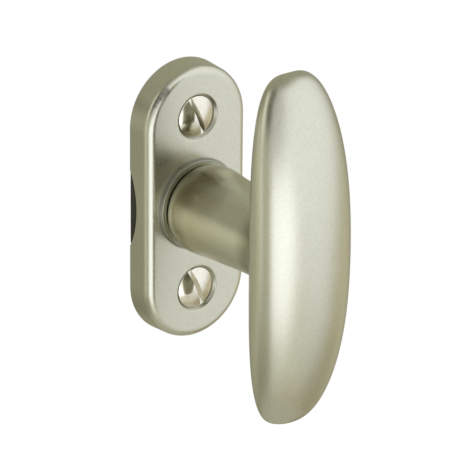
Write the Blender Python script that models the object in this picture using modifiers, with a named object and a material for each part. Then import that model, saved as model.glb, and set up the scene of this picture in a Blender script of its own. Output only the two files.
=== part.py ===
# Window olive handle on an oblong rose, with its detent, spindle and fixing screws.
# Every piece is drawn flat, as on a bench: X runs across the rose, Y along it and Z towards the room, with
# Z = 0 on the window's face. The parent empties stand this bench frame up: Y becomes world +Z, Z world -Y.

from math import asin, copysign, cos, hypot, pi, radians, sin, sqrt

import bmesh
import bpy
from mathutils import Matrix

OBJECT_NAME = "window_olive_handle"
CLEARANCE = 0.0003
CUT_OVERRUN = 0.001
MERGE_DISTANCE = 1e-6

# Rose: an oblong cast shell with a raised collar
ROSE_LENGTH = 0.0682
ROSE_WIDTH = 0.0288
ROSE_THICKNESS = 0.0070
ROSE_DRAFT = 0.0004
ROSE_EDGE_RADIUS = 0.0016
ROSE_SIDE_WALL = 0.0020
ROSE_FACE_WALL = 0.0018
COLLAR_WALL = 0.00145
COLLAR_HEIGHT = 0.0012
COLLAR_EDGE_RADIUS = 0.0003
NOTCH_LENGTH = 0.0190
NOTCH_DEPTH = 0.0026

# Fixing screws: slotted wood screws with raised countersunk heads
FIXING_SPACING = 0.0430
FIXING_LENGTH = 0.0200
FIXING_POINT = 0.0050
FIXING_RADIUS = 0.0024
FIXING_HEAD_RADIUS = 0.0050
FIXING_HEAD_DOME = 0.0014
FIXING_HEAD_SINK = 0.0002
FIXING_BOSS_WALL = 0.0019
COUNTERSINK_WALL = 0.0008
SLOT_WIDTH = 0.0009
SLOT_DEPTH = 0.0013
SLOT_TURN = radians(24)

# Housing screws: small countersunk self-tapping screws
HOUSING_SCREW_X = 0.0085
HOUSING_SCREW_Y = 0.0165
HOUSING_SCREW_RADIUS = 0.0011
HOUSING_SCREW_HEAD_RADIUS = 0.0021
HOUSING_SCREW_LENGTH = 0.0052
HOUSING_SCREW_SINK = 0.0002
HOUSING_BOSS_WALL = 0.0007
HOUSING_BOSS_LENGTH = 0.0024

# Handle: a bowed olive grip on a round neck, with a flatted journal behind
HANDLE_PROJECTION = 0.0540
KNOB_LENGTH = 0.0856
KNOB_WIDTH = 0.0259
KNOB_SLIMMING = 0.0016
KNOB_END_POWER = 3.3
KNOB_CROWN_SHARE = 0.585
KNOB_BOW = 0.0042
KNOB_END_BOW = 0.0009
KNOB_BACK = 0.0062
KNOB_BACK_POWER = 2.0
BACK_FLANK = 1.6
BACK_CORNER_POWER = 6.0
NECK_BASE_RADIUS = 0.0109
NECK_FOOT_ROUND = 0.0014
NECK_FOOT_LENGTH = 0.0020
NECK_WAIST_RADIUS = 0.00915
NECK_TAPER_POWER = 1.4
NECK_FLARE = 0.0036
NECK_ROOT = 0.0030
JOURNAL_RADIUS = 0.0073
JOURNAL_FLATS = 0.0120
JOURNAL_LIP = 0.0005
GROOVE_DEPTH = 0.0008

# Bush, cam, leaf springs and retaining ring
BUSH_WALL = 0.0016
BUSH_FLANGE = 0.0007
BUSH_FLANGE_THICKNESS = 0.0006
BUSH_SETBACK = 0.0002
CAM_WALL = 0.0016
CAM_RISE = 0.0016
CAM_THICKNESS = 0.0019
SPRING_THICKNESS = 0.0006
SPRING_SEAT = 0.0018
POCKET_CORNER = 0.0020
EAR_INSET = 0.00025
RING_WIDTH = 0.0018
RING_THICKNESS = 0.0006
RING_OPENING = radians(70)
RING_LUG_LENGTH = 0.0014
RING_LUG_ANGLE = radians(22)
RING_LUG_HOLE = 0.0005

# Spindle and the grub screw that holds it in the neck
SPINDLE_SIDE = 0.0070
SPINDLE_LENGTH = 0.0400
SPINDLE_REACH = 0.0135
GRUB_RADIUS = 0.0020
GRUB_SETBACK = 0.0006
GRUB_SOCKET_RADIUS = 0.00115
GRUB_SOCKET_DEPTH = 0.0020
GRUB_PLACE = 0.35

# Fineness of round shapes
ROUND_STEPS = 72
SMALL_STEPS = 32
NECK_STEPS = 60
ARC_STEPS = 6
KNOB_SEGMENTS = 44
KNOB_RINGS = 34
KNOB_RING_SPACING = 1.3
KNOB_BACK_SPACING = 0.6

# Sizes that follow from the ones above
ROSE_RADIUS = ROSE_WIDTH / 2
ROSE_STRAIGHT = (ROSE_LENGTH - ROSE_WIDTH) / 2
RECESS_RADIUS = ROSE_RADIUS - ROSE_SIDE_WALL
RECESS_DEPTH = ROSE_THICKNESS - ROSE_FACE_WALL
COLLAR_FRONT = ROSE_THICKNESS + COLLAR_HEIGHT
BUSH_BORE = JOURNAL_RADIUS + CLEARANCE
BUSH_RADIUS = BUSH_BORE + BUSH_WALL
ROSE_BORE = BUSH_RADIUS + CLEARANCE
COLLAR_RADIUS = ROSE_BORE + COLLAR_WALL
FLANGE_FRONT = RECESS_DEPTH - CLEARANCE
FLANGE_BACK = FLANGE_FRONT - BUSH_FLANGE_THICKNESS
CAM_FRONT = FLANGE_BACK - CLEARANCE
CAM_BACK = CAM_FRONT - CAM_THICKNESS
CAM_HALF = JOURNAL_FLATS / 2 + CLEARANCE + CAM_WALL
CAM_CORNER = CAM_HALF + CAM_RISE
RING_FRONT = CAM_BACK - CLEARANCE
RING_BACK = RING_FRONT - RING_THICKNESS
GROOVE_RADIUS = JOURNAL_RADIUS - GROOVE_DEPTH
GROOVE_BACK = RING_BACK - CLEARANCE
JOURNAL_END = GROOVE_BACK - JOURNAL_LIP
SPRING_INNER = CAM_HALF + CLEARANCE
SPRING_OUTER = SPRING_INNER + SPRING_THICKNESS
FLANGE_RADIUS = BUSH_RADIUS + BUSH_FLANGE
RING_INNER = GROOVE_RADIUS + CLEARANCE
RING_OUTER = RING_INNER + RING_WIDTH
RING_LUG_RADIUS = RING_OUTER + RING_LUG_LENGTH
POCKET_HALF = max(SPRING_OUTER + CAM_RISE, FLANGE_RADIUS, RING_LUG_RADIUS) + CLEARANCE
SPRING_HALF = POCKET_HALF + SPRING_SEAT
HOUSING_RADIUS = RECESS_RADIUS - CLEARANCE
HOUSING_FRONT = RECESS_DEPTH - CLEARANCE
NOTCH_RADIUS = (NOTCH_LENGTH ** 2 / 4 + NOTCH_DEPTH ** 2) / (2 * NOTCH_DEPTH)
NOTCH_CENTRE = NOTCH_DEPTH - NOTCH_RADIUS
FIXING_HOLE = FIXING_RADIUS + CLEARANCE
COUNTERSINK_RADIUS = FIXING_HEAD_RADIUS + CLEARANCE * sqrt(2) + FIXING_HEAD_SINK
COUNTERSINK_AT_RECESS = COUNTERSINK_RADIUS - ROSE_FACE_WALL
FIXING_BOSS_RADIUS = max(FIXING_HOLE + FIXING_BOSS_WALL, COUNTERSINK_AT_RECESS + COUNTERSINK_WALL)
FIXING_RIM = ROSE_THICKNESS - FIXING_HEAD_SINK
HOUSING_SCREW_HOLE = HOUSING_SCREW_RADIUS + CLEARANCE
HOUSING_BOSS_RADIUS = HOUSING_SCREW_HOLE + HOUSING_BOSS_WALL
HOUSING_BOSS_BACK = RECESS_DEPTH - HOUSING_BOSS_LENGTH
NECK_START = COLLAR_FRONT + CLEARANCE
NECK_FOOT_END = NECK_START + NECK_FOOT_LENGTH
KNOB_CENTRE = HANDLE_PROJECTION - KNOB_CROWN_SHARE * KNOB_WIDTH / 2
KNOB_HALF = KNOB_LENGTH / 2
SOCKET_HALF = SPINDLE_SIDE / 2 + CLEARANCE
SOCKET_END = SPINDLE_LENGTH - SPINDLE_REACH + CLEARANCE
GRUB_HOLE = GRUB_RADIUS + CLEARANCE

for existing in list(bpy.data.objects):
    bpy.data.objects.remove(existing)


def new_collection(name):
    collection = bpy.data.collections.new(name)
    bpy.context.scene.collection.children.link(collection)
    return collection


def new_empty(name, parent=None):
    empty = bpy.data.objects.new(name, None)
    parts.objects.link(empty)
    empty.parent = parent
    return empty


def new_material(name, colour, roughness, metallic):
    material = bpy.data.materials.new(name)
    material.use_nodes = True
    shader = material.node_tree.nodes["Principled BSDF"]
    shader.inputs["Base Color"].default_value = (*colour, 1)
    shader.inputs["Roughness"].default_value = roughness
    shader.inputs["Metallic"].default_value = metallic
    return material


def new_part(name, mesh, parent, material):
    part = bpy.data.objects.new(name, mesh)
    parts.objects.link(part)
    part.parent = parent
    mesh.shade_smooth()
    mesh.set_sharp_from_angle(angle=radians(35))
    mesh.materials.clear()
    mesh.materials.append(material)
    return part


def new_tool(name, mesh, parent):
    """A guide that cuts or is joined to a part, and is no part itself."""
    tool = bpy.data.objects.new(name, mesh)
    tools.objects.link(tool)
    tool.parent = parent
    tool.hide_render = True
    tool.display_type = "WIRE"
    return tool


def boolean(part, operation, name, mesh):
    modifier = part.modifiers.new(name, "BOOLEAN")
    modifier.operation = operation
    modifier.object = new_tool(f"{part.name}_{name}", mesh, part.parent)


def cut(part, name, mesh):
    boolean(part, "DIFFERENCE", name, mesh)


def join(part, name, mesh):
    boolean(part, "UNION", name, mesh)


def evaluated_mesh(name, data, screw_steps=0):
    """The closed mesh that a curve, or a profile turned about Z, evaluates to."""
    guide = bpy.data.objects.new(name, data)
    bpy.context.scene.collection.objects.link(guide)
    if screw_steps:
        screw = guide.modifiers.new("turn", "SCREW")
        screw.steps = screw_steps
        screw.render_steps = screw_steps
        screw.use_merge_vertices = True
        screw.merge_threshold = MERGE_DISTANCE
    bpy.context.view_layer.update()
    mesh = bpy.data.meshes.new_from_object(guide.evaluated_get(bpy.context.evaluated_depsgraph_get()))
    bpy.data.objects.remove(guide)
    mesh.name = name
    shape = bmesh.new()
    shape.from_mesh(mesh)
    bmesh.ops.remove_doubles(shape, verts=shape.verts, dist=MERGE_DISTANCE)
    bmesh.ops.dissolve_verts(shape, verts=[vertex for vertex in shape.verts if is_cap_centre(vertex)])
    shape.to_mesh(mesh)
    shape.free()
    return mesh


def is_cap_centre(vertex):
    """True on the axis of a turned shape's flat end, which is one face without it."""
    neighbours = [edge.other_vert(vertex) for edge in vertex.link_edges]
    level = all(abs(neighbour.co.z - vertex.co.z) < MERGE_DISTANCE for neighbour in neighbours)
    return level and hypot(vertex.co.x, vertex.co.y) < MERGE_DISTANCE


def turned(name, profile, steps=SMALL_STEPS, straight=0.0):
    """Turn (radius, height) points about Z. A straight stretch moves the two halves apart along Y."""
    closed = profile[0][0] > 0
    last = len(profile) - 1
    edges = [(i, i + 1) for i in range(last)]
    if closed:
        edges.append((last, 0))
    outline = bpy.data.meshes.new(name)
    outline.from_pydata([(radius, 0, height) for radius, height in profile], edges, [])
    mesh = evaluated_mesh(name, outline, steps)
    mesh.transform(Matrix.Rotation(pi / steps, 4, "Z"))
    for vertex in mesh.vertices:
        vertex.co.y += copysign(straight, vertex.co.y)
    return mesh


def cylinder(name, radius, low, high, steps=SMALL_STEPS):
    return turned(name, [(0, high), (radius, high), (radius, low), (0, low)], steps)


def flat(name, outlines, low, high):
    """A flat piece between two heights: an outer outline, with any holes as further outlines."""
    curve = bpy.data.curves.new(name, "CURVE")
    curve.dimensions = "2D"
    curve.fill_mode = "BOTH"
    curve.extrude = (high - low) / 2
    for outline in outlines:
        spline = curve.splines.new("POLY")
        spline.points.add(len(outline) - 1)
        spline.use_cyclic_u = True
        for point, (x, y) in zip(spline.points, outline):
            point.co = (x, y, 0, 1)
    mesh = evaluated_mesh(name, curve)
    mesh.transform(Matrix.Translation((0, 0, (low + high) / 2)))
    return mesh


def block(name, low, high):
    """A box between two corners."""
    shape = bmesh.new()
    bmesh.ops.create_cube(shape, size=1)
    size = [b - a for a, b in zip(low, high)]
    middle = [(a + b) / 2 for a, b in zip(low, high)]
    bmesh.ops.scale(shape, vec=size, verts=shape.verts)
    bmesh.ops.translate(shape, vec=middle, verts=shape.verts)
    mesh = bpy.data.meshes.new(name)
    shape.to_mesh(mesh)
    shape.free()
    return mesh


def loft(name, rings):
    """A closed skin over rings of equal point count, with flat ends."""
    shape = bmesh.new()
    rows = [[shape.verts.new(point) for point in ring] for ring in rings]
    for row, following in zip(rows, rows[1:]):
        for i in range(len(row)):
            shape.faces.new((row[i - 1], row[i], following[i], following[i - 1]))
    shape.faces.new(list(reversed(rows[0])))
    shape.faces.new(rows[-1])
    mesh = bpy.data.meshes.new(name)
    shape.to_mesh(mesh)
    shape.free()
    return mesh


def placed(mesh, *moves):
    for move in moves:
        mesh.transform(move)
    return mesh


def moved(mesh, x=0.0, y=0.0):
    return placed(mesh, Matrix.Translation((x, y, 0)))


def arc(centre, radius, start, end, steps=ARC_STEPS):
    x, y = centre
    angles = [start + (end - start) * i / steps for i in range(steps + 1)]
    return [(x + radius * cos(a), y + radius * sin(a)) for a in angles]


def clipped_square(half, clip, steps=NECK_STEPS):
    """Outline of a square of half side half, with its corners turned down to the radius clip."""
    points = []
    for i in range(steps):
        angle = 2 * pi * i / steps
        radius = min(clip, half / max(abs(cos(angle)), abs(sin(angle))))
        points.append((radius * cos(angle), radius * sin(angle)))
    return points


def rounded_square(half, corner):
    inner = half - corner
    outline = []
    for quarter in range(4):
        turn = quarter * pi / 2 + pi / 4
        centre = (copysign(inner, cos(turn)), copysign(inner, sin(turn)))
        outline += arc(centre, corner, quarter * pi / 2, (quarter + 1) * pi / 2)
    return outline


def arc_bar(name, radius, floor, half_length):
    """A bar along X whose section is the part of the side notch's circle above a floor."""
    reach = asin((floor - NOTCH_CENTRE) / radius)
    outline = arc((0, NOTCH_CENTRE), radius, reach, pi - reach, 4 * ARC_STEPS)
    along_x = Matrix(((0, 0, 1, 0), (1, 0, 0, 0), (0, 1, 0, 0), (0, 0, 0, 1)))
    return placed(flat(name, [outline], -half_length, half_length), along_x)


def superellipse(share, power):
    return max(0.0, 1 - abs(share) ** power) ** (1 / power)


def knob_section(along):
    """Half width, crown, back and centre height of the knob's section at a share of its half length."""
    width = (KNOB_WIDTH / 2 - KNOB_SLIMMING * along ** 2) * superellipse(along, KNOB_END_POWER)
    back = KNOB_BACK * superellipse(along, KNOB_BACK_POWER)
    centre = KNOB_CENTRE - KNOB_BOW * along ** 2 - KNOB_END_BOW * along ** 4
    return width, KNOB_CROWN_SHARE * width, back, centre


def knob_back_share(across):
    """Share of the knob's back depth at a share of its half width: a flat back with rounded sides."""
    side = BACK_FLANK * superellipse(across, 2)
    return side / (1 + side ** BACK_CORNER_POWER) ** (1 / BACK_CORNER_POWER)


def knob_back_height(x, y):
    width, _, back, centre = knob_section(y / KNOB_HALF)
    return centre - back * knob_back_share(x / width)


def knob_mesh():
    """A sphere whose poles become the knob's ends and whose meridians become its sections."""
    shape = bmesh.new()
    bmesh.ops.create_uvsphere(shape, u_segments=KNOB_SEGMENTS, v_segments=KNOB_RINGS, radius=1)
    for vertex in shape.verts:
        x, y, z = vertex.co
        along = copysign(1 - max(0.0, 1 - abs(z)) ** KNOB_RING_SPACING, z)
        width, crown, back, centre = knob_section(along)
        around = hypot(x, y)
        across, up = (x / around, y / around) if around > MERGE_DISTANCE else (0, 0)
        height = centre + crown * up
        if up < 0:
            across = copysign(abs(across) ** KNOB_BACK_SPACING, across)
            height = centre - back * knob_back_share(across)
        vertex.co = (width * across, -along * KNOB_HALF, height)
    mesh = bpy.data.meshes.new("olive_knob")
    shape.to_mesh(mesh)
    shape.free()
    return mesh


def neck_waist_end():
    """Height where the neck starts to flare into the knob."""
    return knob_back_height(0, NECK_WAIST_RADIUS) - NECK_FLARE


def neck_radius(height):
    """Radius of the tapering neck in front of its foot."""
    share = (neck_waist_end() - height) / (neck_waist_end() - NECK_FOOT_END)
    return NECK_WAIST_RADIUS + (NECK_BASE_RADIUS - NECK_WAIST_RADIUS) * share ** NECK_TAPER_POWER


def ring_at(outline, height):
    return [(x, y, height) for x, y in outline]


def flare_ring(share):
    """Ring of the flare: a curve at each angle from the neck's side to the knob's back."""
    side_flare = min(NECK_FLARE, (KNOB_WIDTH / 2 - NECK_WAIST_RADIUS) / 2)
    ring = []
    for x, y in clipped_square(1, 1):
        outer_x = x * (NECK_WAIST_RADIUS + side_flare)
        outer_y = y * (NECK_WAIST_RADIUS + NECK_FLARE)
        start = (x * NECK_WAIST_RADIUS, y * NECK_WAIST_RADIUS, neck_waist_end())
        corner = (*start[:2], knob_back_height(*start[:2]))
        end = (outer_x, outer_y, knob_back_height(outer_x, outer_y))
        weights = ((1 - share) ** 2, 2 * share * (1 - share), share ** 2)
        ring.append(tuple(sum(w * p[i] for w, p in zip(weights, (start, corner, end))) for i in range(3)))
    return ring


def neck_mesh():
    """Journal with flats and ring groove, round shoulder, tapering neck and the flare into the knob."""
    flats = JOURNAL_FLATS / 2
    full = clipped_square(flats, JOURNAL_RADIUS)
    groove = clipped_square(flats, GROOVE_RADIUS)
    tail = [(full, JOURNAL_END), (full, GROOVE_BACK), (groove, GROOVE_BACK), (groove, CAM_BACK)]
    tail += [(full, CAM_BACK), (full, FLANGE_BACK - CLEARANCE / 2)]
    rings = [ring_at(outline, height) for outline, height in tail]
    foot = (NECK_BASE_RADIUS - NECK_FOOT_ROUND, NECK_START)
    turned_part = [(JOURNAL_RADIUS, FLANGE_BACK - CLEARANCE / 2), (JOURNAL_RADIUS, NECK_START), foot]
    for i in range(1, ARC_STEPS + 1):
        angle = pi / 2 * i / ARC_STEPS
        radius = foot[0] + NECK_FOOT_ROUND * sin(angle)
        turned_part.append((radius, NECK_START + NECK_FOOT_LENGTH * (1 - cos(angle))))
    for i in range(1, ARC_STEPS):
        height = NECK_FOOT_END + (neck_waist_end() - NECK_FOOT_END) * i / ARC_STEPS
        turned_part.append((neck_radius(height), height))
    rings += [ring_at(clipped_square(radius, radius), height) for radius, height in turned_part]
    rings += [flare_ring(i / ARC_STEPS) for i in range(ARC_STEPS + 1)]
    root = clipped_square(NECK_WAIST_RADIUS, NECK_WAIST_RADIUS)
    rings.append(ring_at(root, knob_back_height(0, 0) + NECK_ROOT))
    return loft("olive_handle", rings)


def make_rose(parent, material):
    side_foot = ROSE_RADIUS - ROSE_DRAFT
    shoulder = (side_foot - ROSE_EDGE_RADIUS, ROSE_THICKNESS - ROSE_EDGE_RADIUS)
    profile = [(0, ROSE_THICKNESS)]
    profile += arc(shoulder, ROSE_EDGE_RADIUS, pi / 2, 0)
    profile += [(ROSE_RADIUS, 0), (RECESS_RADIUS, 0), (RECESS_RADIUS, RECESS_DEPTH), (0, RECESS_DEPTH)]
    shell = turned("rose_plate", profile, ROUND_STEPS, ROSE_STRAIGHT)
    rose = new_part("rose_plate", shell, parent, material)
    sunk = ROSE_THICKNESS - ROSE_FACE_WALL / 2
    collar = [(0, COLLAR_FRONT)]
    rim = (COLLAR_RADIUS - COLLAR_EDGE_RADIUS, COLLAR_FRONT - COLLAR_EDGE_RADIUS)
    collar += arc(rim, COLLAR_EDGE_RADIUS, pi / 2, 0, 2)
    collar += [(COLLAR_RADIUS, sunk), (0, sunk)]
    join(rose, "collar", turned("collar", collar, ROUND_STEPS))
    cone_end = ROSE_THICKNESS - (COUNTERSINK_RADIUS - FIXING_HOLE)
    mouth = ROSE_THICKNESS + CUT_OVERRUN
    countersink = [(0, mouth), (COUNTERSINK_RADIUS + CUT_OVERRUN, mouth), (FIXING_HOLE, cone_end)]
    countersink += [(FIXING_HOLE, -CUT_OVERRUN), (0, -CUT_OVERRUN)]
    for side, name in ((1, "top"), (-1, "bottom")):
        place = side * FIXING_SPACING / 2
        boss = cylinder(f"boss_{name}", FIXING_BOSS_RADIUS, 0, sunk)
        join(rose, f"boss_{name}", moved(boss, y=place))
        screw_boss = cylinder(f"small_boss_{name}", HOUSING_BOSS_RADIUS, HOUSING_BOSS_BACK, sunk)
        join(rose, f"small_boss_{name}", moved(screw_boss, side * HOUSING_SCREW_X, side * HOUSING_SCREW_Y))
        cut(rose, f"countersink_{name}", moved(turned(f"countersink_{name}", countersink), y=place))
        hole = cylinder(f"small_hole_{name}", HOUSING_SCREW_HOLE, HOUSING_BOSS_BACK - CUT_OVERRUN,
                        HOUSING_SCREW_SINK + HOUSING_SCREW_LENGTH + CLEARANCE)
        cut(rose, f"small_hole_{name}", moved(hole, side * HOUSING_SCREW_X, side * HOUSING_SCREW_Y))
    cut(rose, "bore", cylinder("bore", ROSE_BORE, -CUT_OVERRUN, COLLAR_FRONT + CUT_OVERRUN, ROUND_STEPS))
    cut(rose, "notches", arc_bar("notches", NOTCH_RADIUS, -CUT_OVERRUN, ROSE_WIDTH))


def make_bush(parent, material):
    front = COLLAR_FRONT - BUSH_SETBACK
    profile = [(BUSH_BORE, front), (BUSH_RADIUS, front), (BUSH_RADIUS, FLANGE_FRONT)]
    profile += [(FLANGE_RADIUS, FLANGE_FRONT), (FLANGE_RADIUS, FLANGE_BACK), (BUSH_BORE, FLANGE_BACK)]
    new_part("bearing_bush", turned("bearing_bush", profile, ROUND_STEPS), parent, material)


def make_housing(parent, material):
    body = [(0, HOUSING_FRONT), (HOUSING_RADIUS, HOUSING_FRONT), (HOUSING_RADIUS, 0), (0, 0)]
    mesh = turned("detent_housing", body, ROUND_STEPS, ROSE_STRAIGHT)
    housing = new_part("detent_housing", mesh, parent, material)
    join(housing, "ears", arc_bar("ears", NOTCH_RADIUS - CLEARANCE, 0, ROSE_RADIUS - EAR_INSET))
    deep = HOUSING_FRONT + CUT_OVERRUN
    cut(housing, "pocket", flat("pocket", [rounded_square(POCKET_HALF, POCKET_CORNER)], -CUT_OVERRUN, deep))
    slot_end = SPRING_HALF + CLEARANCE
    for side, name in ((-1, "left"), (1, "right")):
        inner, outer = SPRING_INNER - CLEARANCE, SPRING_OUTER + CLEARANCE
        edges = sorted((side * inner, side * outer))
        low, high = (edges[0], -slot_end, -CUT_OVERRUN), (edges[1], slot_end, CAM_FRONT + CLEARANCE)
        cut(housing, f"spring_slot_{name}", block(f"spring_slot_{name}", low, high))
    head = HOUSING_SCREW_HEAD_RADIUS + CLEARANCE
    cone = head - HOUSING_SCREW_HOLE
    clear = HOUSING_BOSS_RADIUS + CLEARANCE
    step = HOUSING_BOSS_BACK - CLEARANCE
    bore = [(0, deep), (clear, deep), (clear, step), (HOUSING_SCREW_HOLE, step)]
    bore += [(HOUSING_SCREW_HOLE, HOUSING_SCREW_SINK + cone), (head, HOUSING_SCREW_SINK)]
    bore += [(head, -CUT_OVERRUN), (0, -CUT_OVERRUN)]
    for side, name in ((1, "upper"), (-1, "lower")):
        boss_hole = cylinder(f"boss_hole_{name}", FIXING_BOSS_RADIUS + CLEARANCE, -CUT_OVERRUN, deep)
        cut(housing, f"boss_hole_{name}", moved(boss_hole, y=side * FIXING_SPACING / 2))
        screw_bore = moved(turned(f"bore_{name}", bore), side * HOUSING_SCREW_X, side * HOUSING_SCREW_Y)
        cut(housing, f"screw_bore_{name}", screw_bore)


def make_springs(parent, material):
    for side, name in ((-1, "left"), (1, "right")):
        edges = sorted((side * SPRING_INNER, side * SPRING_OUTER))
        low, high = (edges[0], -SPRING_HALF, CAM_BACK), (edges[1], SPRING_HALF, CAM_FRONT)
        new_part(f"detent_spring_{name}", block(f"detent_spring_{name}", low, high), parent, material)


def make_fixing_screws(parent, material):
    """Dome, countersunk cone, shank and point, with a straight slot across the dome."""
    reach = FIXING_HEAD_RADIUS
    sphere = (reach ** 2 + FIXING_HEAD_DOME ** 2) / (2 * FIXING_HEAD_DOME)
    half_angle = asin(reach / sphere)
    centre = (0, FIXING_RIM + FIXING_HEAD_DOME - sphere)
    profile = arc(centre, sphere, pi / 2, pi / 2 - half_angle)
    profile[0] = (0, FIXING_RIM + FIXING_HEAD_DOME)
    cone_end = FIXING_RIM - (FIXING_HEAD_RADIUS - FIXING_RADIUS)
    tip = FIXING_RIM - FIXING_LENGTH
    profile += [(FIXING_RADIUS, cone_end), (FIXING_RADIUS, tip + FIXING_POINT), (0, tip)]
    slot_low = (-SLOT_WIDTH / 2, -2 * reach, FIXING_RIM + FIXING_HEAD_DOME - SLOT_DEPTH)
    slot_high = (SLOT_WIDTH / 2, 2 * reach, FIXING_RIM + FIXING_HEAD_DOME + CUT_OVERRUN)
    for side, name in ((1, "fixing_screw_top"), (-1, "fixing_screw_bottom")):
        place = side * FIXING_SPACING / 2
        screw = new_part(name, moved(turned(name, profile), y=place), parent, material)
        slot = placed(block("slot", slot_low, slot_high), Matrix.Rotation(SLOT_TURN, 4, "Z"))
        cut(screw, "slot", moved(slot, y=place))


def make_housing_screws(parent, material):
    """Flush countersunk heads towards the window, points towards the room, with a straight slot."""
    head = HOUSING_SCREW_HEAD_RADIUS
    shank = HOUSING_SCREW_RADIUS
    back = HOUSING_SCREW_SINK
    tip = back + HOUSING_SCREW_LENGTH
    cone_end = back + head - shank
    profile = [(0, tip), (shank, tip - shank), (shank, cone_end), (head, back), (0, back)]
    slot = ((-SLOT_WIDTH / 2, -head, -CUT_OVERRUN), (SLOT_WIDTH / 2, head, back + SLOT_WIDTH))
    for side, name in ((1, "housing_screw_upper"), (-1, "housing_screw_lower")):
        place = (side * HOUSING_SCREW_X, side * HOUSING_SCREW_Y)
        screw = new_part(name, moved(turned(name, profile), *place), parent, material)
        cut(screw, "slot", moved(block("slot", *slot), *place))


def make_handle(parent, material):
    handle = new_part("olive_handle", neck_mesh(), parent, material)
    join(handle, "knob", knob_mesh())
    low = (-SOCKET_HALF, -SOCKET_HALF, JOURNAL_END - CUT_OVERRUN)
    cut(handle, "spindle_socket", block("spindle_socket", low, (SOCKET_HALF, SOCKET_HALF, SOCKET_END)))
    grub_hole = cylinder("grub_hole", GRUB_HOLE, 0, NECK_BASE_RADIUS + CUT_OVERRUN)
    cut(handle, "grub_hole", grub_placed(grub_hole))


def grub_height():
    return NECK_FOOT_END + (neck_waist_end() - NECK_FOOT_END) * GRUB_PLACE


def grub_placed(mesh):
    """Stand a piece drawn along Z on the neck's axis, pointing down out of the neck's underside."""
    return placed(mesh, Matrix.Rotation(pi / 2, 4, "X"), Matrix.Translation((0, 0, grub_height())))


def make_cam(parent, material):
    outer = clipped_square(CAM_HALF, CAM_CORNER)
    hole = clipped_square(JOURNAL_FLATS / 2 + CLEARANCE, JOURNAL_RADIUS + CLEARANCE)
    new_part("detent_cam", flat("detent_cam", [outer, hole], CAM_BACK, CAM_FRONT), parent, material)


def make_retaining_ring(parent, material):
    """Flat open ring, its opening at the bottom, with a drilled lug on each side of the opening."""
    half = RING_OPENING / 2
    start, end = -pi / 2 + half, 1.5 * pi - half
    steps = 4 * ARC_STEPS
    outline = arc((0, 0), RING_LUG_RADIUS, start, start + RING_LUG_ANGLE, 2)
    outline += arc((0, 0), RING_OUTER, start + RING_LUG_ANGLE, end - RING_LUG_ANGLE, steps)
    outline += arc((0, 0), RING_LUG_RADIUS, end - RING_LUG_ANGLE, end, 2)
    outline += arc((0, 0), RING_INNER, end, start, steps)
    holes = []
    reach = (RING_INNER + RING_LUG_RADIUS) / 2
    for angle in (start + RING_LUG_ANGLE / 2, end - RING_LUG_ANGLE / 2):
        holes.append(arc((reach * cos(angle), reach * sin(angle)), RING_LUG_HOLE, 0, 1.75 * pi, 7))
    ring = flat("retaining_ring", [outline, *holes], RING_BACK, RING_FRONT)
    new_part("retaining_ring", ring, parent, material)


def make_spindle(parent, material):
    half = SPINDLE_SIDE / 2
    low, high = (-half, -half, -SPINDLE_REACH), (half, half, SPINDLE_LENGTH - SPINDLE_REACH)
    new_part("square_spindle", block("square_spindle", low, high), parent, material)


def make_grub_screw(parent, material):
    low = SPINDLE_SIDE / 2 + CLEARANCE
    high = neck_radius(grub_height()) - GRUB_SETBACK
    thread = cylinder("grub_screw", GRUB_RADIUS, low, high)
    screw = new_part("grub_screw", grub_placed(thread), parent, material)
    socket = cylinder("grub_socket", GRUB_SOCKET_RADIUS, high - GRUB_SOCKET_DEPTH, high + CUT_OVERRUN, 6)
    cut(screw, "socket", grub_placed(socket))


parts = new_collection(OBJECT_NAME)
tools = new_collection(f"{OBJECT_NAME}_tools")
rose_frame = new_empty("rose_frame")
rose_frame.rotation_euler = (pi / 2, 0, 0)
handle_axis = new_empty("handle_axis", rose_frame)

satin_nickel = new_material("satin_nickel", (0.56, 0.55, 0.47), 0.42, 1.0)
bright_nickel = new_material("bright_nickel", (0.72, 0.70, 0.64), 0.15, 1.0)
black_plastic = new_material("black_plastic", (0.012, 0.012, 0.012), 0.55, 0.0)
spring_steel = new_material("spring_steel", (0.35, 0.35, 0.36), 0.35, 1.0)
zinc_steel = new_material("zinc_steel", (0.58, 0.59, 0.60), 0.38, 1.0)

make_rose(rose_frame, satin_nickel)
make_bush(rose_frame, black_plastic)
make_housing(rose_frame, black_plastic)
make_springs(rose_frame, spring_steel)
make_fixing_screws(rose_frame, bright_nickel)
make_housing_screws(rose_frame, zinc_steel)
make_handle(handle_axis, satin_nickel)
make_cam(handle_axis, zinc_steel)
make_retaining_ring(handle_axis, spring_steel)
make_spindle(handle_axis, zinc_steel)
make_grub_screw(handle_axis, zinc_steel)
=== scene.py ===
import math

import bmesh
import bpy
import numpy as np
from mathutils import Matrix, Vector


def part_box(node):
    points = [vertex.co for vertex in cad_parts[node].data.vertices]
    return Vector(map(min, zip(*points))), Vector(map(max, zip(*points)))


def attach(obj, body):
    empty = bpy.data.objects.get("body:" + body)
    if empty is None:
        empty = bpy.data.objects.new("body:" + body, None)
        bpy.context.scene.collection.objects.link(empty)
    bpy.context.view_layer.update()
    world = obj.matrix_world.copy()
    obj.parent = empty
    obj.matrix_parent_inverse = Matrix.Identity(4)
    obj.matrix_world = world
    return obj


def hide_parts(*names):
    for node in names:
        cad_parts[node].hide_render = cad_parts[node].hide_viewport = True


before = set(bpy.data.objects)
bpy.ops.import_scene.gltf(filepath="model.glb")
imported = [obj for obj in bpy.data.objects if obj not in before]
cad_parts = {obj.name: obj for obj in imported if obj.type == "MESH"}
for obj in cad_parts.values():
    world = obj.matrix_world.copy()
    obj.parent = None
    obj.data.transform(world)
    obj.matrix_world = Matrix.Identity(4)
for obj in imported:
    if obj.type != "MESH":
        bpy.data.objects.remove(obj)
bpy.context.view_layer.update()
scene = bpy.context.scene
print("frame loaded,", len(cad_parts), "nodes")

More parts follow.
